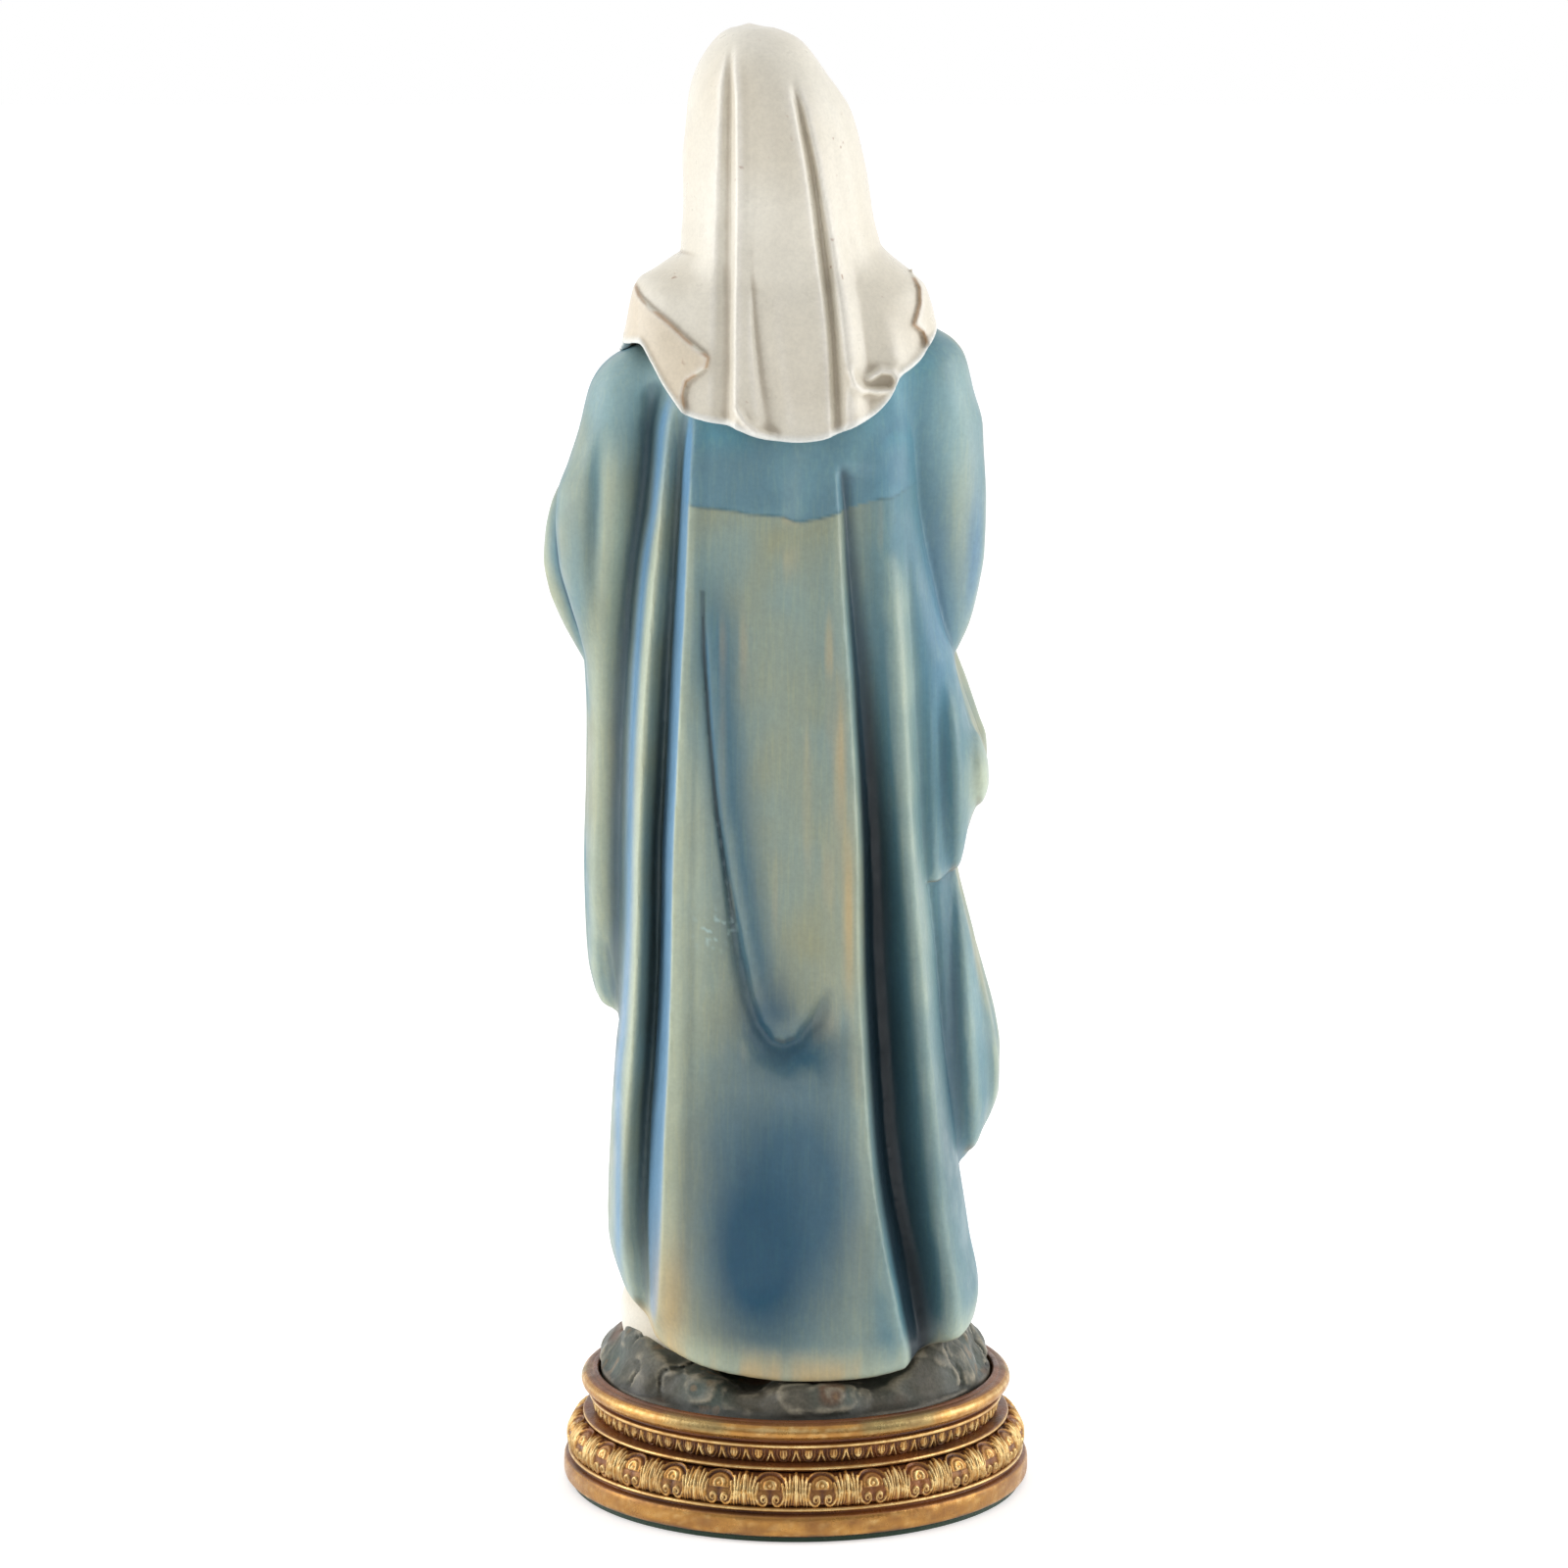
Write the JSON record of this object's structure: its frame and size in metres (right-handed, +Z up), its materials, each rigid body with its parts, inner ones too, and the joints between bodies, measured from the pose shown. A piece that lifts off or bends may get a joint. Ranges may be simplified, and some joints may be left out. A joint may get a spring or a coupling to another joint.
{
  "type": "madonna statue",
  "caption": "Painted resin statue of a standing veiled woman in a blue mantle with joined hands, on a rock mound and a round gilded plinth.",
  "frame": {"origin": "centre of the felt pad's underside, where the statue rests", "axes": "+Z up through the plinth's axis, the figure faces -Y, and its left hand is towards +X"},
  "size_m": [0.0998, 0.0966, 0.3],
  "materials": {
    "felt": "matt green felt",
    "gilt_resin": "antique gold paint with a dark brown wash",
    "rock_paint": "matt grey-green paint, dry brushed",
    "zinc_steel": "zinc plated",
    "white_paint": "satin off-white paint",
    "blue_paint": "satin airbrushed blue over cream",
    "veil_paint": "semi-gloss off-white paint",
    "skin_paint": "satin flesh paint"
  },
  "bodies": {
    "root": {"felt_pad": "felt", "plinth": "gilt_resin", "leaf_band": "gilt_resin", "egg_band": "gilt_resin", "rock_mound": "rock_paint", "fixing_screw": "zinc_steel", "screw_washer": "zinc_steel", "dress": "white_paint", "cloak": "blue_paint", "veil": "veil_paint", "head": "skin_paint", "neck_dowel": "zinc_steel", "left_sleeve": "white_paint", "right_sleeve": "white_paint", "left_hand": "skin_paint", "right_hand": "skin_paint", "left_wrist_pin": "zinc_steel", "right_wrist_pin": "zinc_steel"}
  },
  "joints": []
}
